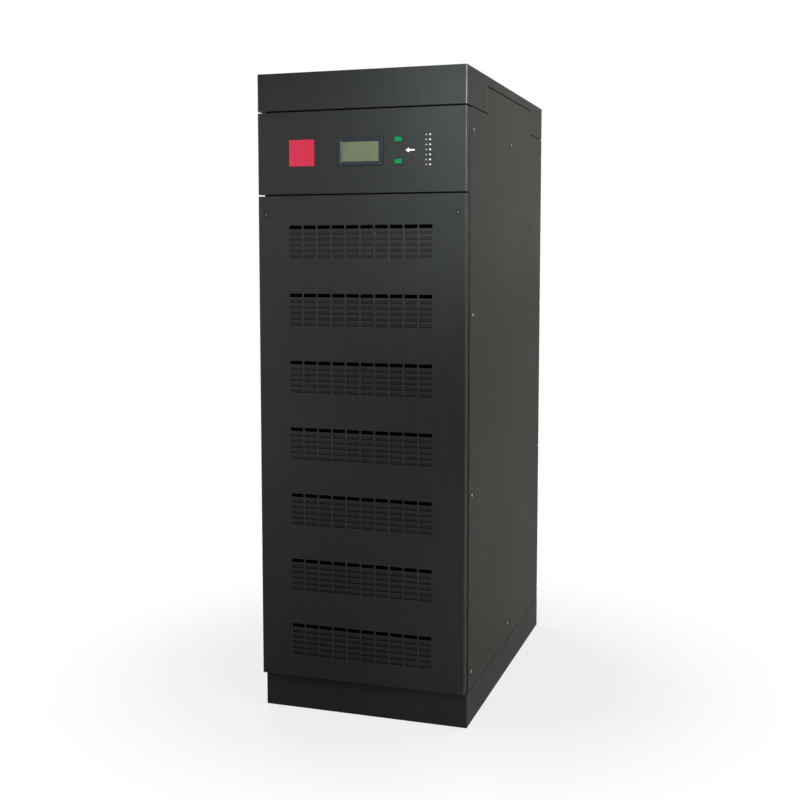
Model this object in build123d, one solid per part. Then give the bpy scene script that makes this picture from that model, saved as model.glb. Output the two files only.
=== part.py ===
from build123d import *
import math
import os

# Modular UPS cabinet: a hollow sheet-metal tower on a plinth, in millimetres.
# +Z is up, the front faces -Y, and the origin is at floor level under the middle of the cabinet.
# Depths are counted from the front face of the front panels, inwards.

# Overall size
width = 600.0
depth = 1000.0
height = 1800.0

# Sheet and frame sections
sheet = 1.5
frame_wall = 2.0
post_size = 40.0
bend_radius = 3.0

# Plinth and floor
plinth_height = 96.0
plinth_setback = 28.0
plinth_fold = 30.0
floor_inset = 2.0

# Front panels, from the floor up
front_fold = 24.0
front_lip = 25.0
floor_seam = 5.0
panel_seam = 4.5
control_height = 223.5
cap_height = 102.0

# Side panels with a raised tab under the hood, and the dark groove in front of them
side_fold = 15.0
side_groove = 18.0
tab_start = 231.0
tab_length = 582.0
tab_rise = 76.0
hood_gap = 3.0
rear_gap = 2.0

# Louvred bands of the vent panel
bands = 7
band_columns = 10
band_rows = 6
column_pitch = 41.8
row_pitch = 15.8
slot_web = 4.3
slot_land = 5.8
band_top_margin = 81.5
band_bottom_margin = 65.0
louvre_depth = 4.5

# Display
display_x = 3.0
display_width = 133.0
display_height = 76.0
display_proud = 3.0
window_width = 104.0
window_height = 53.0
window_bevel = 4.5
window_ledge = 1.0
collar_wall = 3.0
collar_depth = 5.0
screen_edge = 2.0
screen_thickness = 8.0
fit_gap = 0.3

# Keys, their guide, and the lights
key_x = 111.0
key_spread = 58.5
key_width = 20.5
key_height = 13.5
key_proud = 4.0
key_chamfer = 1.0
key_flange = 2.0
key_travel = 2.5
key_gap = 0.4
stem_size = 6.0
guide_wall = 2.0
guide_margin = 4.0
stem_tail = 4.0
light_x = 200.0
light_pitch = 13.15
lights = 7
light_radius = 2.5
light_sides = 8
light_gap = 0.2
light_proud = 1.0
light_seat = 7.0
light_seat_depth = 1.2

# Places that follow from the sizes above
face_proud = max(display_proud, key_proud, light_proud)
front_y = -(depth - face_proud) / 2
rear_y = front_y + depth
floor_top = plinth_height + frame_wall
vent_bottom = floor_top + floor_seam
cap_bottom = height - cap_height
control_top = cap_bottom - panel_seam
control_bottom = control_top - control_height
control_middle = (control_top + control_bottom) / 2
vent_top = control_bottom - panel_seam
post_top = height - sheet
post_x = width / 2 - side_fold - post_size / 2
front_post_y = front_y + front_fold + post_size / 2
rear_post_y = rear_y - front_fold - post_size / 2
slot_width = column_pitch - slot_web
slot_height = row_pitch - slot_land
band_height = band_rows * row_pitch - slot_land
band_pitch = (vent_top - vent_bottom - band_top_margin - band_bottom_margin - band_height) / (bands - 1)
band_places = [vent_top - band_top_margin - band_height / 2 - n * band_pitch for n in range(bands)]
band_plate = (band_columns * column_pitch + slot_web, band_height + 2 * slot_land)


def facing(direction, x, y, z):
    """A plane that looks along direction, with its local y axis up, or towards the rear on top of the cabinet."""
    across = {"front": (1, 0, 0), "rear": (-1, 0, 0), "left": (0, -1, 0), "right": (0, 1, 0), "up": (1, 0, 0)}
    outward = {"front": (0, -1, 0), "rear": (0, 1, 0), "left": (-1, 0, 0), "right": (1, 0, 0), "up": (0, 0, 1)}
    return Plane(origin=(x, y, z), x_dir=across[direction], z_dir=outward[direction])


def slab(plane, size_x, size_y, start, end):
    """A rectangular plate on a plane, from one depth to another, counted inwards from the plane."""
    return extrude(plane.offset(-start) * Rectangle(size_x, size_y), amount=start - end)


def folded_pan(plane, size_x, size_y, fold, gauge, lip_x=0.0, lip_y=0.0, bends=None):
    """A sheet panel with its four edges folded back, and lips turned in from the folds where asked."""
    body = slab(plane, size_x, size_y, 0, fold)
    hollow = slab(plane, size_x - 2 * gauge, size_y - 2 * gauge, gauge, fold - gauge)
    mouth = slab(plane, size_x - 2 * max(lip_x, gauge), size_y - 2 * max(lip_y, gauge), gauge, fold)
    if bends:
        body = fillet(bends(body, plane), bend_radius)
        hollow = fillet(bends(hollow, plane), bend_radius - gauge)
    return body - hollow - mouth


def upright_folds(body, plane):
    """The two outer edges of a panel that run along its local y axis."""
    outer = body.faces().sort_by(Axis((0, 0, 0), plane.z_dir))[-1]
    return outer.edges().filter_by(Axis((0, 0, 0), plane.y_dir))


def corner_folds(body, plane):
    """The four corner edges of a pan, square to its face."""
    return body.edges().filter_by(Axis((0, 0, 0), plane.z_dir))


def tube(plane, length):
    """A square frame tube that runs inwards from a plane."""
    section = Rectangle(post_size, post_size) - Rectangle(post_size - 2 * frame_wall, post_size - 2 * frame_wall)
    return extrude(plane * section, amount=-length)


def make_plinth():
    """Four folded channels under the cabinet, with the front one set back."""
    front_wall = front_y + plinth_setback
    side_length = rear_y - front_wall - 2 * plinth_fold
    middle_z = plinth_height / 2
    middle_y = (front_wall + rear_y) / 2

    def wall(plane, length):
        return folded_pan(plane, length, plinth_height, plinth_fold, frame_wall)

    return {
        "plinth_front": wall(facing("front", 0, front_wall, middle_z), width),
        "plinth_rear": wall(facing("rear", 0, rear_y, middle_z), width),
        "plinth_left": wall(facing("left", -width / 2, middle_y, middle_z), side_length),
        "plinth_right": wall(facing("right", width / 2, middle_y, middle_z), side_length),
    }


def make_floor():
    """The floor plate that lies on the plinth and carries the posts and the side panels."""
    start_y = front_y + front_fold
    end_y = rear_y - floor_inset
    plane = facing("up", 0, (start_y + end_y) / 2, floor_top)
    return slab(plane, width - 2 * floor_inset, end_y - start_y, 0, frame_wall)


def make_posts():
    """Four square corner posts from the floor to the underside of the hood."""
    posts = {}
    for end, y in (("front", front_post_y), ("rear", rear_post_y)):
        for side, x in (("left", -post_x), ("right", post_x)):
            posts[f"post_{end}_{side}"] = tube(facing("up", x, y, post_top), post_top - floor_top)
    return posts


def make_rails():
    """Cross rails behind the seams of the front and rear panels, and the two long rails under the hood."""
    span = 2 * post_x - post_size
    run = rear_post_y - front_post_y - post_size
    lower_z = floor_top + post_size / 2
    middle_z = (vent_top + control_bottom) / 2
    upper_z = (control_top + cap_bottom) / 2
    top_z = post_top - post_size / 2
    across = facing("right", span / 2, 0, 0)
    along = facing("rear", 0, front_post_y + post_size / 2 + run, 0)
    return {
        "rail_front_lower": Pos(0, front_post_y, lower_z) * tube(across, span),
        "rail_front_middle": Pos(0, front_post_y, middle_z) * tube(across, span),
        "rail_front_upper": Pos(0, front_post_y, upper_z) * tube(across, span),
        "rail_rear_lower": Pos(0, rear_post_y, lower_z) * tube(across, span),
        "rail_rear_upper": Pos(0, rear_post_y, upper_z) * tube(across, span),
        "rail_top_left": Pos(-post_x, 0, top_z) * tube(along, run),
        "rail_top_right": Pos(post_x, 0, top_z) * tube(along, run),
    }


def make_side_panels():
    """Two folded side panels; each has a tab that rises into the notch of the hood's skirt."""
    shoulder = cap_bottom - hood_gap
    start_y = front_y + front_fold + side_groove
    tab_y = front_y + tab_start
    outline = facing("right", width / 2, 0, 0) * Polygon(
        (start_y, floor_top),
        (rear_y, floor_top),
        (rear_y, shoulder),
        (tab_y + tab_length, shoulder),
        (tab_y + tab_length, shoulder + tab_rise),
        (tab_y, shoulder + tab_rise),
        (tab_y, shoulder),
        (start_y, shoulder),
        align=None,
    )
    body = extrude(outline, amount=-side_fold)
    outer = body.faces().sort_by(Axis.X)[-1]
    body = fillet(outer.edges().filter_by(Axis.Z).sort_by(SortBy.LENGTH)[-2:], bend_radius)
    right = offset(body, amount=-sheet, openings=[body.faces().sort_by(Axis.X)[0]], kind=Kind.INTERSECTION)
    return {"side_panel_right": right, "side_panel_left": mirror(right, about=Plane.YZ)}


def make_hood():
    """The top hood: a deep pan with folded-in front and rear edges and a notch in each side skirt."""
    plane = facing("up", 0, (front_y + rear_y) / 2, height)
    hood = folded_pan(plane, width, depth, cap_height, sheet, lip_y=front_fold, bends=corner_folds)
    notch_y = front_y + tab_start + tab_length / 2
    side = facing("right", width / 2, notch_y, cap_bottom + tab_rise / 2)
    return hood - slab(side, tab_length + 2 * hood_gap, tab_rise, 0, width)


def make_louvre():
    """One pressed louvre about the middle of its slot: the wedge that stands in, and the air space inside it."""
    slope = math.atan2(louvre_depth, slot_height)
    low = -slot_height / 2
    high = slot_height / 2
    root = high + sheet * math.tan(slope / 2)
    lip = louvre_depth + sheet / math.cos(slope)
    wedge = Plane.YZ * Polygon((sheet / 2, low), (lip, low), (sheet, root), (sheet / 2, root), align=None)
    space = Plane.YZ * Polygon((0, low), (louvre_depth, low), (0, high), align=None)
    return (
        extrude(wedge, amount=slot_width / 2 + sheet, both=True),
        extrude(space, amount=slot_width / 2, both=True),
    )


def row_height(row):
    """Height of the middle of a row of slots above the middle of its band, from the top row down."""
    return ((band_rows - 1) / 2 - row) * row_pitch


def make_band():
    """One band of the vent panel: a top row of open slots, and rows of louvres pressed inwards below it."""
    wedge, space = make_louvre()
    columns = GridLocations(column_pitch, 0, band_columns, 1)
    slots = [Pos(0, row_height(0)) * column * Rectangle(slot_width, slot_height) for column in columns]
    plate = extrude(facing("front", 0, 0, 0) * (Rectangle(*band_plate) - slots), amount=-sheet)
    places = [column * Pos(0, 0, row_height(row)) for row in range(1, band_rows) for column in columns]
    return plate + [place * wedge for place in places] - [place * space for place in places]


def make_vent_panel():
    """The vent panel: a folded pan with the louvred bands pressed into its face, one below the other."""
    plane = facing("front", 0, front_y, (vent_top + vent_bottom) / 2)
    panel = folded_pan(plane, width, vent_top - vent_bottom, front_fold, sheet, front_lip, bends=upright_folds)
    band = make_band()
    windows = [slab(facing("front", 0, front_y, z), *band_plate, 0, sheet) for z in band_places]
    return panel - windows + [Pos(0, front_y, z) * band for z in band_places]


def make_rear_panel():
    """The rear panel: one plain folded pan between the side panels."""
    rear_width = width - 2 * (side_fold + rear_gap)
    plane = facing("rear", 0, rear_y, (control_top + vent_bottom) / 2)
    return folded_pan(plane, rear_width, control_top - vent_bottom, front_fold, sheet, bends=upright_folds)


def light_places():
    """Heights of the lights, one above the other about the middle of the control panel."""
    return [control_middle + (n - (lights - 1) / 2) * light_pitch for n in range(lights)]


def make_control_panel():
    """The control panel with its cut-outs for the display, the keys and the lights."""
    plane = facing("front", 0, front_y, control_middle)
    panel = folded_pan(plane, width, control_height, front_fold, sheet, front_lip, bends=upright_folds)
    collar = 2 * (screen_edge + fit_gap + collar_wall + fit_gap)
    display_plane = facing("front", display_x, front_y, control_middle)
    holes = [slab(display_plane, window_width + collar, window_height + collar, 0, sheet)]
    for key_z in (-key_spread / 2, key_spread / 2):
        key_plane = facing("front", key_x, front_y, control_middle + key_z)
        holes.append(slab(key_plane, key_width + 2 * key_gap, key_height + 2 * key_gap, 0, sheet))
    for light_z in light_places():
        light_plane = facing("front", light_x, front_y, light_z)
        holes.append(extrude(light_plane * RegularPolygon(light_radius, light_sides), amount=-sheet))
    return panel - holes


def make_display():
    """The display: a bevelled bezel with a collar through the panel, and the screen seated behind its ledge."""
    plane = facing("front", display_x, front_y, control_middle)
    pocket_width = window_width + 2 * (screen_edge + fit_gap)
    pocket_height = window_height + 2 * (screen_edge + fit_gap)
    frame = slab(plane.offset(display_proud), display_width, display_height, 0, display_proud)
    frame = chamfer(frame.faces().sort_by(Axis.Y)[0].edges(), display_proud / 3)
    collar = slab(plane, pocket_width + 2 * collar_wall, pocket_height + 2 * collar_wall, 0, collar_depth)
    pocket = slab(plane, pocket_width, pocket_height, 0, collar_depth)
    window = slab(plane.offset(display_proud), window_width, window_height, 0, display_proud)
    bevel = loft(
        [
            plane.offset(display_proud) * Rectangle(window_width + 2 * window_bevel, window_height + 2 * window_bevel),
            plane.offset(window_ledge) * Rectangle(window_width, window_height),
        ]
    )
    screen = slab(plane, window_width + 2 * screen_edge, window_height + 2 * screen_edge, 0, screen_thickness)
    return {"display_bezel": frame + collar - pocket - window - bevel, "display_screen": screen}


def make_keys():
    """Two sprung keys with a flange behind the panel and a square stem, and the guide that the stems run in."""
    flange_start = sheet + key_gap
    flange_end = flange_start + key_flange
    flange_edge = 2 * (key_gap + key_flange)
    web_start = flange_end + key_travel + key_gap
    web_end = web_start + guide_wall
    guide_width = key_width + flange_edge + 2 * (key_gap + guide_wall)
    guide_height = key_spread + key_height + flange_edge + 2 * guide_margin
    guide_plane = facing("front", key_x, front_y, control_middle)
    guide = slab(guide_plane, guide_width, guide_height, sheet, web_end)
    guide -= slab(guide_plane, guide_width - 2 * guide_wall, guide_height, sheet, web_start)
    keys = {}
    for name, key_z in (("key_upper", key_spread / 2), ("key_lower", -key_spread / 2)):
        plane = facing("front", key_x, front_y, control_middle + key_z)
        cap = slab(plane.offset(key_proud), key_width, key_height, 0, key_proud + flange_start)
        cap = chamfer(cap.faces().sort_by(Axis.Y)[0].edges(), key_chamfer)
        flange = slab(plane, key_width + flange_edge, key_height + flange_edge, flange_start, flange_end)
        stem = slab(plane, stem_size, stem_size, flange_end, web_end + stem_tail)
        keys[name] = cap + flange + stem
        guide -= slab(plane, stem_size + 2 * key_gap, stem_size + 2 * key_gap, web_start, web_end)
    keys["key_guide"] = guide
    return keys


def make_lights():
    """A column of small lenses, each with a square seat on the back of the control panel."""
    lens = extrude(RegularPolygon(light_radius - light_gap, light_sides), amount=sheet + light_proud)
    seat = extrude(Rectangle(light_seat, light_seat), amount=-light_seat_depth)
    light = lens + seat
    return Compound(children=[facing("front", light_x, front_y + sheet, z) * light for z in light_places()])


nodes = {}
nodes.update(make_plinth())
nodes["floor_plate"] = make_floor()
nodes.update(make_posts())
nodes.update(make_rails())
nodes.update(make_side_panels())
nodes["top_hood"] = make_hood()
nodes["vent_panel"] = make_vent_panel()
nodes["rear_panel"] = make_rear_panel()
nodes["control_panel"] = make_control_panel()
nodes.update(make_display())
nodes.update(make_keys())
nodes["indicator_lights"] = make_lights()

os.makedirs("parts", exist_ok=True)
for name, shape in nodes.items():
    export_step(shape, f"parts/{name}.step")
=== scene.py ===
import math

import bmesh
import bpy
from mathutils import Matrix, Vector


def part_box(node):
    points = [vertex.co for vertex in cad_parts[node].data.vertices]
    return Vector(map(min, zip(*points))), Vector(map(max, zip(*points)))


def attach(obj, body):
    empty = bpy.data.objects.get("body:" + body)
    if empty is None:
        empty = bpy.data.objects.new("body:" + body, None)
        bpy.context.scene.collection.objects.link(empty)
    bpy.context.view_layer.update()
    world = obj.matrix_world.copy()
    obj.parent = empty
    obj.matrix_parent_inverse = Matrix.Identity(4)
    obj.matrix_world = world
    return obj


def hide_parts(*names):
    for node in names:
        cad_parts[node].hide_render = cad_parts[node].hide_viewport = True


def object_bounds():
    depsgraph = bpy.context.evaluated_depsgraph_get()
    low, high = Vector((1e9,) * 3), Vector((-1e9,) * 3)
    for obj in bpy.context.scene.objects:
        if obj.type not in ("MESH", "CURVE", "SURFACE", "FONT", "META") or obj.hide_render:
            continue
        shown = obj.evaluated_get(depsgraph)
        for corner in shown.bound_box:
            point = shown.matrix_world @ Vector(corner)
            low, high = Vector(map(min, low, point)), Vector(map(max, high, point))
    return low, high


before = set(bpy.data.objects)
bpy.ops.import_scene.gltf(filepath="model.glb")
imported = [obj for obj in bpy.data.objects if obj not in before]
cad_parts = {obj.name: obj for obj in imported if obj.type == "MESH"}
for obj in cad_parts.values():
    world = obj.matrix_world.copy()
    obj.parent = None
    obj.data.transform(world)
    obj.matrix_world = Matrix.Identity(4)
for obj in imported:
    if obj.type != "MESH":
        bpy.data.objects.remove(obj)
cad_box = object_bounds()

# The studio: a camera at chest height to the right of the front, with a weak key lamp beside it. Small soft
# boxes stand close to the two edges of the front, a warm one and a slim one behind it light the right side,
# and a large one stands behind on the left.
camera_place = (1.0968, -3.5136, 1.2952)
camera_dip = 4.976
camera_turn = 18.02
camera_data = bpy.data.cameras.new("camera")
camera_data.sensor_width = 36.0
camera_data.lens = 52.79
camera_data.shift_y = -0.05
camera = bpy.data.objects.new("camera", camera_data)
camera.location = camera_place
camera.rotation_euler = (math.radians(90 - camera_dip), 0, math.radians(camera_turn))
bpy.context.scene.collection.objects.link(camera)
bpy.context.scene.camera = camera
bpy.context.scene.view_settings.view_transform = "Standard"


def soft_lamp(name, place, aim, width, height, power, colour, spread):
    """A rectangular soft box that stands at a place, points at another and keeps its beam to a spread."""
    lamp = bpy.data.lights.new(name, "AREA")
    lamp.shape = "RECTANGLE"
    lamp.size = width
    lamp.size_y = height
    lamp.energy = power
    lamp.color = colour
    lamp.spread = math.radians(spread)
    stand = bpy.data.objects.new(name, lamp)
    stand.location = place
    stand.visible_camera = False
    stand.rotation_euler = (Vector(aim) - Vector(place)).to_track_quat("-Z", "Y").to_euler()
    bpy.context.scene.collection.objects.link(stand)


cool_white = (0.99, 1.0, 1.0)
soft_lamp(
    "key_lamp", place=(1.06, -2.5, 1.95), aim=(0.38, -0.5, 1.78),
    width=0.5, height=0.5, power=1.8, colour=cool_white, spread=60,
)
soft_lamp(
    "upper_lamp", place=(0.42, -1.05, 1.95), aim=(0.28, -0.5, 1.75),
    width=0.3, height=0.5, power=1.75, colour=cool_white, spread=120,
)
soft_lamp(
    "middle_lamp", place=(0.38, -0.9, 1.6), aim=(0.28, -0.5, 1.5),
    width=0.2, height=0.6, power=1.0, colour=cool_white, spread=120,
)
soft_lamp(
    "low_lamp", place=(0.42, -0.9, 0.35), aim=(0.28, -0.5, 0.3),
    width=0.2, height=0.8, power=0.4, colour=(1.0, 0.99, 0.97), spread=120,
)
soft_lamp(
    "left_lamp", place=(-0.5, -0.9, 1.1), aim=(-0.28, -0.5, 1.0),
    width=0.2, height=1.4, power=1.15, colour=(0.98, 1.0, 0.99), spread=120,
)
soft_lamp(
    "side_lamp", place=(2.4, 1.2, 0.4), aim=(0.3, 0.1, 0.4),
    width=1.6, height=1.6, power=16, colour=(1.0, 0.80, 0.54), spread=140,
)
soft_lamp(
    "hood_lamp", place=(0.5, 2.6, 1.8), aim=(0.3, 0.3, 1.5),
    width=0.4, height=1.2, power=1.25, colour=(1.0, 0.90, 0.74), spread=120,
)
soft_lamp(
    "rear_lamp", place=(-2.3, 2.8, 2.4), aim=(0.0, 0.3, 0.9),
    width=2.0, height=2.0, power=90, colour=(1.0, 1.0, 1.0), spread=180,
)


# The room: plain white walls all round, which the camera and every gloss see as white. The light that they
# throw back on the cabinet is weaker, and slightly warm.
def add_node(tree, kind, inputs, **settings):
    """A shader node with its settings, and its sockets filled with values or linked to other sockets."""
    node = tree.nodes.new(kind)
    for setting, value in settings.items():
        setattr(node, setting, value)
    for socket, value in inputs.items():
        if isinstance(value, bpy.types.NodeSocket):
            tree.links.new(value, node.inputs[socket])
        else:
            node.inputs[socket].default_value = value
    return node


def reckon(tree, operation, *terms):
    """One step of arithmetic on shader values."""
    return add_node(tree, "ShaderNodeMath", dict(enumerate(terms)), operation=operation).outputs[0]


def mix_shaders(tree, share, first, second):
    """Two shaders mixed by a share from 0 to 1."""
    inputs = {0: share, 1: first.outputs[0], 2: second.outputs[0]}
    return add_node(tree, "ShaderNodeMixShader", inputs).outputs[0]


def seen_directly(tree):
    """1 for rays from the camera, a gloss or glass, and 0 for the rays that light the cabinet."""
    path = tree.nodes.new("ShaderNodeLightPath")
    seen = path.outputs["Is Camera Ray"]
    for ray in ("Is Glossy Ray", "Is Transmission Ray"):
        seen = reckon(tree, "MAXIMUM", seen, path.outputs[ray])
    return seen


white = (1, 1, 1, 1)
fill_colour = (1.0, 0.99, 0.97, 1)
fill_strength = 0.42
room = bpy.data.worlds.new("studio_world")
room.use_nodes = True
bpy.context.scene.world = room
tree = room.node_tree
tree.nodes.clear()
fill_light = add_node(tree, "ShaderNodeBackground", {"Color": fill_colour, "Strength": fill_strength})
white_walls = add_node(tree, "ShaderNodeBackground", {"Color": white, "Strength": 1.0})
shown = mix_shaders(tree, seen_directly(tree), fill_light, white_walls)
add_node(tree, "ShaderNodeOutputWorld", {"Surface": shown})


# The floor: a wide disc with matt pale paint. It takes the shadow of the cabinet, and away from the cabinet
# it runs out to the white of the room. It is darker to the rays that light the cabinet than to the eye.
def new_finish(name):
    """An empty material for a finish, and its node tree."""
    finish = bpy.data.materials.new(name)
    finish.use_nodes = True
    finish.node_tree.nodes.clear()
    return finish, finish.node_tree


def mix_colours(tree, share, first, second, blend="MIX"):
    """Two colours mixed by a share from 0 to 1."""
    inputs = {0: share, 6: first, 7: second}
    return add_node(tree, "ShaderNodeMix", inputs, data_type="RGBA", blend_type=blend).outputs[2]


floor_reach = 12.0
floor_drop = 0.0005
shadow_reach = 0.55
white_reach = 1.2
shadow_whiteness = 0.76
floor_lit = (0.3, 0.3, 0.3, 1)
floor_seen = (0.92, 0.92, 0.92, 1)

floor_paint, tree = new_finish("floor_paint")
seen = seen_directly(tree)
place = tree.nodes.new("ShaderNodeNewGeometry").outputs["Position"]
away = add_node(tree, "ShaderNodeVectorMath", {0: place}, operation="LENGTH").outputs["Value"]
fade = {"Value": away, "From Min": shadow_reach, "From Max": white_reach, "To Min": shadow_whiteness}
faded = add_node(tree, "ShaderNodeMapRange", fade, interpolation_type="SMOOTHSTEP").outputs[0]
pale = mix_colours(tree, seen, floor_lit, floor_seen)
painted = add_node(tree, "ShaderNodeBsdfDiffuse", {"Color": pale, "Roughness": 0.6})
glow = add_node(tree, "ShaderNodeEmission", {"Color": white, "Strength": 1.0})
shown = mix_shaders(tree, reckon(tree, "MULTIPLY", faded, seen), painted, glow)
add_node(tree, "ShaderNodeOutputMaterial", {"Surface": shown})

bm = bmesh.new()
bmesh.ops.create_circle(bm, cap_ends=True, segments=96, radius=floor_reach)
floor_mesh = bpy.data.meshes.new("studio_floor")
bm.to_mesh(floor_mesh)
bm.free()
floor_mesh.materials.append(floor_paint)
studio_floor = bpy.data.objects.new("studio_floor", floor_mesh)
studio_floor.location.z = cad_box[0].z - floor_drop
bpy.context.scene.collection.objects.link(studio_floor)


# The plinth: four walls folded from 2 mm steel, with the front one set back under the cabinet. They carry a
# dark grey powder coat that is baked on, with a painted highlight along the upright folds.
def add_noise(tree, place, scale, detail, roughness=0.5):
    """A cloudy pattern from 0 to 1."""
    inputs = {"Vector": place, "Scale": scale, "Detail": detail, "Roughness": roughness}
    return add_node(tree, "ShaderNodeTexNoise", inputs).outputs["Fac"]


def carry(tree, value, start, end, first=0.0, last=1.0):
    """A shader value that goes from first to last as another one goes from start to end."""
    inputs = {"Value": value, "From Min": start, "From Max": end, "To Min": first, "To Max": last}
    return add_node(tree, "ShaderNodeMapRange", inputs).outputs[0]


def tinted(colour, share):
    """A colour made darker or paler, with full opacity."""
    return [min(1, share * channel) for channel in colour] + [1]


def two_shades(tree, value, dark, pale, start=0.0, end=1.0):
    """A colour that goes from dark to pale as a shader value goes from start to end."""
    ramp = tree.nodes.new("ShaderNodeValToRGB")
    low, high = ramp.color_ramp.elements
    low.position = start
    low.color = dark
    high.position = end
    high.color = pale
    tree.links.new(value, ramp.inputs[0])
    return ramp.outputs[0]


def add_bump(tree, height, strength, distance, over=None):
    """A fine relief, laid over the surface or over another normal."""
    inputs = {"Height": height, "Strength": strength, "Distance": distance}
    if over:
        inputs["Normal"] = over
    return add_node(tree, "ShaderNodeBump", inputs).outputs[0]


def cover(tree, **sockets):
    """Ends a finish with its surface shader."""
    inputs = {name.replace("_", " "): value for name, value in sockets.items()}
    surface = add_node(tree, "ShaderNodeBsdfPrincipled", inputs)
    add_node(tree, "ShaderNodeOutputMaterial", {"Surface": surface.outputs[0]})


def powder_coat(name, colour, roughness, gloss, fold_highlight_and_wear):
    """A baked powder coat: pebbled skin, streaks, cloudy tone, and a painted highlight on rubbed folds."""
    tone_spread = 0.12
    grain_spread = 0.06
    fold_radius = 0.0026
    fold_highlight_gain = 9
    rub_smoothing = 0.45
    coat, tree = new_finish(name)
    place = tree.nodes.new("ShaderNodeTexCoord").outputs["Object"]
    upright = add_node(tree, "ShaderNodeMapping", {"Vector": place, "Scale": (1, 1, 0.05)}).outputs[0]
    streaks = add_noise(tree, upright, scale=240.0, detail=4.0, roughness=0.6)
    clouds = add_noise(tree, place, scale=2.6, detail=5.0, roughness=0.55)
    pebbles = add_noise(tree, place, scale=1300.0, detail=2.0)
    fold_patches = add_noise(tree, place, scale=45.0, detail=6.0, roughness=0.7)
    mottle = carry(tree, reckon(tree, "ADD", streaks, clouds), start=0.6, end=1.4)
    shades = two_shades(tree, mottle, tinted(colour, 1 - tone_spread), tinted(colour, 1 + tone_spread))

    # The folds are painted paler in patches, a painted highlight on the bends; they are also made smoother.
    rounded = add_node(tree, "ShaderNodeBevel", {"Radius": fold_radius}, samples=6).outputs[0]
    turned = add_node(tree, "ShaderNodeSeparateXYZ", {0: rounded}).outputs
    across = reckon(tree, "ABSOLUTE", turned["X"])
    ahead = reckon(tree, "ABSOLUTE", turned["Y"])
    fold = carry(tree, reckon(tree, "MINIMUM", across, ahead), start=0.05, end=0.4)
    fold_highlight_and_rub = reckon(tree, "MULTIPLY", fold, fold_patches)
    fold_highlighted = mix_colours(tree, fold_highlight_and_rub, shades, tinted(colour, 1 + fold_highlight_gain * fold_highlight_and_wear))
    grain = carry(tree, mottle, 0.0, 1.0, first=roughness - grain_spread, last=roughness + grain_spread)
    smoothed = reckon(tree, "MULTIPLY_ADD", fold_highlight_and_rub, -rub_smoothing * fold_highlight_and_wear, grain)
    skin = add_bump(tree, pebbles, strength=0.35, distance=0.0003, over=rounded)
    cover(tree, Base_Color=fold_highlighted, Roughness=smoothed, Specular_IOR_Level=gloss, Normal=skin)
    return coat


def dress(finish, *names):
    """Gives CAD nodes their finish."""
    for name in names:
        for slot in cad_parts[name].material_slots:
            slot.material = finish


plinth_coat = powder_coat("plinth_coat", (0.034, 0.036, 0.0355), roughness=0.5, gloss=0.025, fold_highlight_and_wear=0.4)
dress(plinth_coat, "plinth_front", "plinth_rear", "plinth_left", "plinth_right")

# The inner frame: square tube posts and rails welded at the corners, on a plain floor plate. All of it is
# sprayed matt black, with a faint painted highlight on its edges, and shows only in the grooves, the seams
# and through the vents.
frame_coat = powder_coat("frame_coat", (0.008, 0.008, 0.0085), roughness=0.65, gloss=0.15, fold_highlight_and_wear=0.2)
posts = [f"post_{end}_{side}" for end in ("front", "rear") for side in ("left", "right")]
rails = ["rail_front_lower", "rail_front_middle", "rail_front_upper", "rail_rear_lower", "rail_rear_upper"]
dress(frame_coat, "floor_plate", "rail_top_left", "rail_top_right", *posts, *rails)

# The side panels: one steel sheet each with folded edges, and a tab that rises into the notch of the hood.
# They stand on the floor plate. Their dark grey powder coat is painted a shade warmer than the front's, as
# painted warm light, and has only a faint painted highlight on the folds.
side_coat = powder_coat("side_coat", (0.0350, 0.0360, 0.0335), roughness=0.5, gloss=0.025, fold_highlight_and_wear=0.07)
dress(side_coat, "side_panel_left", "side_panel_right")


# The side screws: zinc plated heads with a cross recess, each in a cup washer of blackened steel. Ten hold
# each side panel: four up its front edge, four up its rear edge and two between them.
def screw_finish(name, dark, pale, metallic, gloss):
    """Plated or blackened steel with a fine uneven film."""
    steel, tree = new_finish(name)
    place = tree.nodes.new("ShaderNodeTexCoord").outputs["Object"]
    spots = add_noise(tree, place, scale=900.0, detail=4.0)
    film = two_shades(tree, spots, tinted((dark, dark, dark), 1), tinted((pale, pale, pale), 1))
    scuff = carry(tree, spots, 0.0, 1.0, first=0.25, last=0.5)
    grit = add_bump(tree, spots, strength=0.2, distance=0.0001)
    cover(tree, Base_Color=film, Metallic=metallic, Roughness=scuff, Specular_IOR_Level=gloss, Normal=grit)
    return steel


zinc_steel = screw_finish("zinc_steel", dark=0.25, pale=0.50, metallic=0.9, gloss=0.4)
black_steel = screw_finish("black_steel", dark=0.003, pale=0.010, metallic=0.0, gloss=0.05)
washer_radius = 0.0062
washer_edge = 0.0006
washer_height = 0.0010
cup_lip = 0.0008
cup_floor = 0.0002
head_radius = 0.0042
head_height = 0.0016
head_crown = ((0.0002, 0.0009), (0.0010, 0.0014), (0.0018, head_height))
cross_reach = 0.0022
cross_width = 0.0009
cross_depth = 0.0008
cross_taper = 0.7
screw_turn = 0.7
washer_outline = [
    (washer_radius, 0.0), (washer_radius, washer_edge), (washer_radius - washer_edge, washer_height),
    (head_radius + washer_edge, cup_lip),
]
head_outline = [(head_radius, cup_floor)] + [(head_radius - inset, rise) for inset, rise in head_crown]


def add_band(bm, loop, following):
    """A closed band of faces between two loops with as many corners."""
    count = len(loop)
    pairs = [(step, (step + 1) % count) for step in range(count)]
    return [bm.faces.new((loop[a], loop[b], following[b], following[a])) for a, b in pairs]


def add_turned(bm, seat, outline, steps):
    """A smooth skin turned on its seat from an outline of radius and rise; gives its rings and bands."""
    angles = [2 * math.pi * step / steps for step in range(steps)]
    rings = []
    for radius, rise in outline:
        ring = [Vector((radius * math.cos(angle), radius * math.sin(angle), rise)) for angle in angles]
        rings.append([bm.verts.new(seat @ corner) for corner in ring])
    bands = [add_band(bm, outer, inner) for outer, inner in zip(rings, rings[1:])]
    for band in bands:
        for face in band:
            face.smooth = True
    return rings, bands


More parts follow.
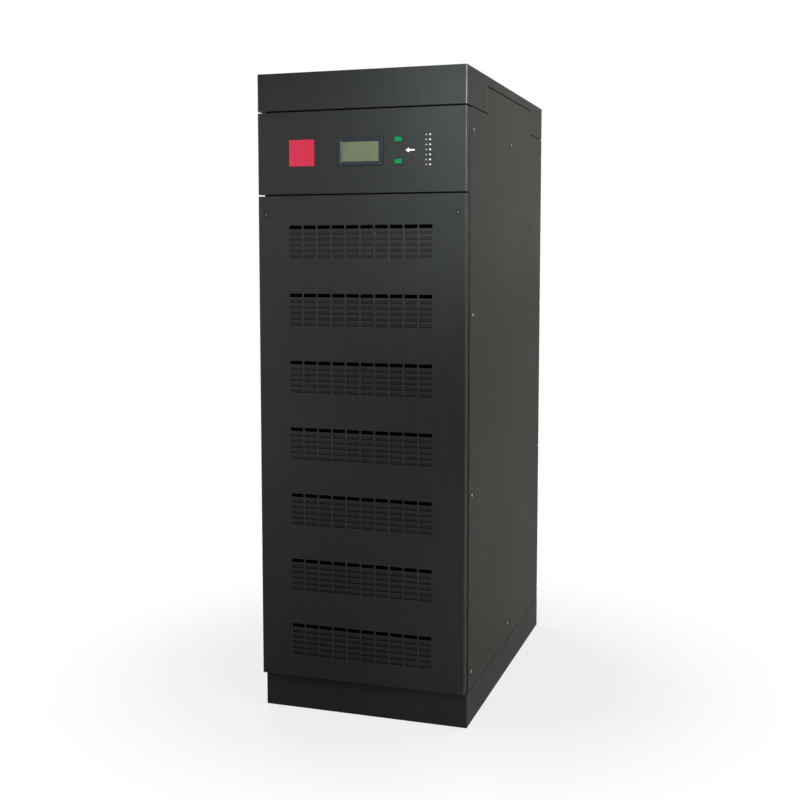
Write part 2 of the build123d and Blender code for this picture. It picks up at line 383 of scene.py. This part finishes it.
def fill_between(bm, *loops):
    """The flat faces between an outer and an inner loop of corners."""
    rim = []
    for loop in loops:
        rim += [bm.edges.get(pair) for pair in zip(loop, loop[1:] + loop[:1])]
    filled = bmesh.ops.triangle_fill(bm, edges=rim, use_beauty=True)["geom"]
    return [part for part in filled if isinstance(part, bmesh.types.BMFace)]


def add_screw(bm, seat):
    """A domed screw head with a cross recess in a cup washer; seat places it on its panel."""
    rings, bands = add_turned(bm, seat, washer_outline + head_outline, steps=32)
    half = cross_width / 2
    arm = ((cross_reach, -half), (cross_reach, half), (half, half))
    cross = [Matrix.Rotation(math.pi / 2 * turn, 2) @ Vector(corner) for turn in range(4) for corner in arm]
    pit_level = head_height - cross_depth
    mouth = [bm.verts.new(seat @ Vector((*corner, head_height))) for corner in cross]
    pit = [bm.verts.new(seat @ Vector((*(cross_taper * corner), pit_level))) for corner in cross]
    add_band(bm, mouth, pit)
    bm.faces.new(pit)
    head_bands = bands[len(washer_outline):]
    for faces in (*head_bands, fill_between(bm, rings[-1], mouth)):
        for face in faces:
            face.material_index = 1


def add_piece(name, bm, body, *finishes):
    """Turns a finished mesh into a piece that rides on a body."""
    bmesh.ops.recalc_face_normals(bm, faces=bm.faces)
    mesh = bpy.data.meshes.new(name)
    bm.to_mesh(mesh)
    bm.free()
    for finish in finishes:
        mesh.materials.append(finish)
    piece = bpy.data.objects.new(name, mesh)
    bpy.context.scene.collection.objects.link(piece)
    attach(piece, body)
    return piece


def add_screws(name, places, outward, head_finish):
    """One piece with all the screws of a panel, each on the panel's face and turned by its own angle."""
    bm = bmesh.new()
    face_turn = Vector(outward).to_track_quat("Z", "Y").to_matrix().to_4x4()
    for number, place in enumerate(places):
        add_screw(bm, Matrix.Translation(place) @ face_turn @ Matrix.Rotation(screw_turn * number, 4, "Z"))
    add_piece(name, bm, "cabinet", black_steel, head_finish)


side_low, side_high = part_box("side_panel_right")
screw_lowest = 0.049
screw_pitch = 0.497
screw_front_inset = 0.030
screw_rear_inset = 0.015
screws_up = 4
screw_rows = [side_low.z + screw_lowest + screw_pitch * row for row in range(screws_up)]
screw_front = side_low.y + screw_front_inset
screw_rear = side_high.y - screw_rear_inset
screw_spots = [(y, z) for y in (screw_front, screw_rear) for z in screw_rows]
screw_spots += [((screw_front + screw_rear) / 2, z) for z in (screw_rows[0], screw_rows[-1])]
add_screws("side_screws_right", [(side_high.x, y, z) for y, z in screw_spots], (1, 0, 0), zinc_steel)
add_screws("side_screws_left", [(-side_high.x, y, z) for y, z in screw_spots], (-1, 0, 0), zinc_steel)

# The hood: a deep pan of steel sheet, folded down all round, with a notch in each side skirt that takes the
# tab of the side panel. It drops over the posts, and its upright corners carry the strongest painted
# highlight.
panel_grey = (0.0335, 0.0362, 0.0361)
hood_coat = powder_coat("hood_coat", panel_grey, roughness=0.5, gloss=0.025, fold_highlight_and_wear=1.0)
dress(hood_coat, "top_hood")

# The vent panel: a folded pan with seven bands of slots, where the blades below each top row are pressed
# inwards. Its coat has a weaker painted highlight than the hood's, on the folds and the slot ends. It hooks
# in at the bottom, and a dull steel screw holds each of its top corners.
vent_coat = powder_coat("vent_coat", panel_grey, roughness=0.5, gloss=0.025, fold_highlight_and_wear=0.2)
dress(vent_coat, "vent_panel")
dull_steel = screw_finish("dull_steel", dark=0.04, pale=0.09, metallic=0.4, gloss=0.2)
vent_low, vent_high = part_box("vent_panel")
vent_screw_inset = 0.0235
vent_screw_drop = 0.0505
vent_columns = (vent_low.x + vent_screw_inset, vent_high.x - vent_screw_inset)
vent_spots = [(x, vent_low.y, vent_high.z - vent_screw_drop) for x in vent_columns]
add_screws("vent_screws", vent_spots, (0, -1, 0), dull_steel)

# The rear panel: one plain folded pan of steel sheet between the side panels, in the same powder coat, with
# a painted highlight along its folds. It is screwed to the rear posts, with its screws in the same rows as
# those of the sides.
panel_coat = powder_coat("panel_coat", panel_grey, roughness=0.5, gloss=0.025, fold_highlight_and_wear=0.43)
dress(panel_coat, "rear_panel")
rear_low, rear_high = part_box("rear_panel")
rear_screw_inset = 0.018
rear_columns = (rear_low.x + rear_screw_inset, rear_high.x - rear_screw_inset)
rear_spots = [(x, rear_high.y, z) for x in rear_columns for z in screw_rows]
add_screws("rear_screws", rear_spots, (0, 1, 0), zinc_steel)

# The control panel: a folded pan of steel sheet with cut-outs for the display, the keys and the lights. It
# is coated with the rear panel, and sits on the posts between the hood and the vent panel.
dress(panel_coat, "control_panel")
control_low, control_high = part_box("control_panel")
control_face = control_low.y
control_middle = (control_low.z + control_high.z) / 2


# The blank plate: a square of sheet with a plain coat of red enamel, round corners and a softened edge. It
# is glued to the left of the control panel. Its edge is painted slightly darker, as painted shade.
def smooth_finish(name, colour, roughness, gloss, grain, rim):
    """Enamel, print or moulded plastic: a faint speckle, rougher walls, and edges painted darker as shade.
    """
    grain_spread = 0.08
    edge_radius = 0.0004
    skin, tree = new_finish(name)
    place = tree.nodes.new("ShaderNodeTexCoord").outputs["Object"]
    speckle = add_noise(tree, place, scale=grain, detail=5.0, roughness=0.6)
    shades = two_shades(tree, speckle, tinted(colour, 0.86), tinted(colour, 1.12), start=0.3, end=0.7)
    dull = carry(tree, speckle, 0.0, 1.0, first=roughness - grain_spread, last=roughness + grain_spread)

    rounded = add_node(tree, "ShaderNodeBevel", {"Radius": edge_radius}, samples=4).outputs[0]
    turned = add_node(tree, "ShaderNodeSeparateXYZ", {0: rounded}).outputs
    ahead = reckon(tree, "ABSOLUTE", turned["Y"])
    # The edges are painted darker by rim, as painted shade, and the walls are made rougher.
    shaded_edge_mask = carry(tree, ahead, start=0.85, end=0.65)
    wall = carry(tree, ahead, start=0.5, end=0.1)
    edge_shaded = mix_colours(tree, shaded_edge_mask, shades, tinted(colour, rim))
    wall_inputs = {0: wall, 2: dull, 3: max(roughness, 1 - rim)}
    rough = add_node(tree, "ShaderNodeMix", wall_inputs, data_type="FLOAT").outputs[0]
    pits = add_noise(tree, place, scale=4000.0, detail=2.0)
    relief = add_bump(tree, pits, strength=0.15, distance=0.0001, over=rounded)
    cover(tree, Base_Color=edge_shaded, Roughness=rough, Specular_IOR_Level=gloss, Normal=relief)
    return skin


def add_plate(bm, x, z, width, height, thickness, corner, bevel):
    """A thin plate with round corners and a softened front edge, lying on the face of the control panel."""
    corner_steps = 6
    outline = []
    for turn, (side, rise) in enumerate(((1, 1), (-1, 1), (-1, -1), (1, -1))):
        for step in range(corner_steps + 1):
            angle = math.pi / 2 * (turn + step / corner_steps)
            across = side * (width / 2 - corner) + corner * math.cos(angle)
            up = rise * (height / 2 - corner) + corner * math.sin(angle)
            outline.append((across, up))
    rings = []
    for proud, inset in ((0, 0), (thickness - bevel, 0), (thickness, bevel)):
        shrink_x = 1 - 2 * inset / width
        shrink_z = 1 - 2 * inset / height
        level = control_face - proud
        corners = [(x + across * shrink_x, level, z + up * shrink_z) for across, up in outline]
        rings.append([bm.verts.new(place) for place in corners])
    for back, front in zip(rings, rings[1:]):
        add_band(bm, back, front)
    bm.faces.new(rings[-1])
    bm.faces.new(rings[0][::-1])


red_enamel = smooth_finish(
    "red_enamel", (0.62, 0.026, 0.068), roughness=0.35, gloss=0.15, grain=160.0, rim=0.8,
)
plate_x = -0.168
plate_width = 0.0745
plate_height = 0.072
bm = bmesh.new()
add_plate(
    bm, plate_x, control_middle, plate_width, plate_height,
    thickness=0.0012, corner=0.0015, bevel=0.0004,
)
add_piece("name_plate_blank", bm, "cabinet", red_enamel)

# The key mark: a plain arrow that points at the two keys. It is screen printed on the control panel in one
# layer of white ink.
white_print = smooth_finish(
    "white_print", (0.82, 0.82, 0.80), roughness=0.5, gloss=0.3, grain=900.0, rim=1.0,
)
ink_thickness = 0.0002
arrow_tip_x = 0.131
arrow_head = 0.010
arrow_half = 0.0065
arrow_end = 0.026
stem_half = 0.002
arrow = (
    (0, 0), (arrow_head, arrow_half), (arrow_head, stem_half), (arrow_end, stem_half),
    (arrow_end, -stem_half), (arrow_head, -stem_half), (arrow_head, -arrow_half),
)
bm = bmesh.new()
layers = []
for proud in (0, ink_thickness):
    corners = [(arrow_tip_x + along, control_face - proud, control_middle + up) for along, up in arrow]
    layers.append([bm.verts.new(corner) for corner in corners])
add_band(bm, *layers)
bm.faces.new(layers[1])
bm.faces.new(layers[0][::-1])
add_piece("key_mark", bm, "cabinet", white_print)

# The light marks: a short plain bar to the left of each light, with round corners. They are screen printed
# on the control panel in grey ink.
grey_print = smooth_finish(
    "grey_print", (0.30, 0.30, 0.29), roughness=0.5, gloss=0.3, grain=900.0, rim=1.0,
)
lights_low, lights_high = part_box("indicator_lights")
lights = 7
light_seat = 0.007
light_x = (lights_low.x + lights_high.x) / 2
light_first = lights_low.z + light_seat / 2
light_pitch = (lights_high.z - lights_low.z - light_seat) / (lights - 1)
light_heights = [light_first + light_pitch * number for number in range(lights)]
mark_gap = 0.0108
mark_width = 0.0055
mark_height = 0.0028
bm = bmesh.new()
for height in light_heights:
    add_plate(
        bm, light_x - mark_gap, height, mark_width, mark_height,
        thickness=ink_thickness, corner=0.0006, bevel=0.00005,
    )
add_piece("light_marks", bm, "cabinet", grey_print)

# The display bezel: a frame of glossy blue-grey plastic, moulded in one piece with the collar that holds
# the screen. It is pushed through the control panel from the front. Its edges are painted much darker, as
# painted shade.
bezel_plastic = smooth_finish(
    "bezel_plastic", (0.020, 0.029, 0.035), roughness=0.24, gloss=0.18, grain=300.0, rim=0.25,
)
dress(bezel_plastic, "display_bezel")

# The display screen: a liquid crystal panel with pale green glass and a fine grid of dots, not lit. It sits
# in the collar of the bezel, behind the window.
screen_dark = (0.128, 0.150, 0.089, 1)
screen_pale = (0.152, 0.175, 0.106, 1)
dot_gap = (0.8, 0.8, 0.8, 1)
screen_glass, tree = new_finish("screen_glass")
place = tree.nodes.new("ShaderNodeTexCoord").outputs["Object"]
tint = add_noise(tree, place, scale=14.0, detail=3.0)
shades = two_shades(tree, tint, screen_dark, screen_pale, start=0.3, end=0.7)
dot_grid = {"Color1": white, "Color2": white, "Mortar": dot_gap, "Mortar Size": 0.03, "Scale": 900.0}
dots = add_node(tree, "ShaderNodeTexBrick", {"Vector": place, **dot_grid}, offset=0.0).outputs["Color"]
dotted = mix_colours(tree, 0.5, shades, dots, blend="MULTIPLY")
haze = carry(tree, tint, 0.0, 1.0, first=0.12, last=0.22)
cover(tree, Base_Color=dotted, Roughness=haze, Specular_IOR_Level=0.2)
dress(screen_glass, "display_screen")

# The keys: two green moulded caps with flanges and stems, which run in a black plastic guide behind the
# control panel. Each one is sprung and moves with its own body. Their edges are painted a little darker, as
# painted shade.
key_plastic = smooth_finish(
    "key_plastic", (0.006, 0.195, 0.053), roughness=0.24, gloss=0.12, grain=500.0, rim=0.7,
)
guide_plastic = smooth_finish(
    "guide_plastic", (0.018, 0.018, 0.019), roughness=0.5, gloss=0.3, grain=500.0, rim=1.0,
)
dress(key_plastic, "key_upper", "key_lower")
dress(guide_plastic, "key_guide")

# The lights: seven domed lenses, each pressed through the control panel from behind on a square seat. They
# are moulded in milky white plastic, and are not lit. Their edges are painted faintly darker, as painted
# shade.
lens_plastic = smooth_finish(
    "lens_plastic", (0.72, 0.73, 0.70), roughness=0.18, gloss=0.4, grain=800.0, rim=0.9,
)
panel_sheet = 0.0015
lens_radius = 0.0023
lens_edge = 0.0008
lens_crown = 0.0021
dome_steps = 6
lens_outline = [(lens_radius, -panel_sheet), (lens_radius, lens_edge)]
for step in range(1, dome_steps):
    angle = math.pi / 2 * step / dome_steps
    rise = lens_edge + (lens_crown - lens_edge) * math.sin(angle)
    lens_outline.append((lens_radius * math.cos(angle), rise))
seat_half = light_seat / 2
seat_corners = ((1, 1), (-1, 1), (-1, -1), (1, -1))
seat_levels = (-panel_sheet, control_face - lights_high.y)
bm = bmesh.new()
for height in light_heights:
    seat = Matrix.Translation((light_x, control_face, height)) @ Matrix.Rotation(math.pi / 2, 4, "X")
    rings, bands = add_turned(bm, seat, lens_outline, steps=24)
    bm.faces.new(rings[-1]).smooth = True
    decks = []
    for level in seat_levels:
        corners = [Vector((side * seat_half, up * seat_half, level)) for side, up in seat_corners]
        decks.append([bm.verts.new(seat @ corner) for corner in corners])
    add_band(bm, *decks)
    bm.faces.new(decks[1])
    fill_between(bm, rings[0], decks[0])
lenses = add_piece("indicator_lenses", bm, "cabinet", lens_plastic)
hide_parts("indicator_lights")
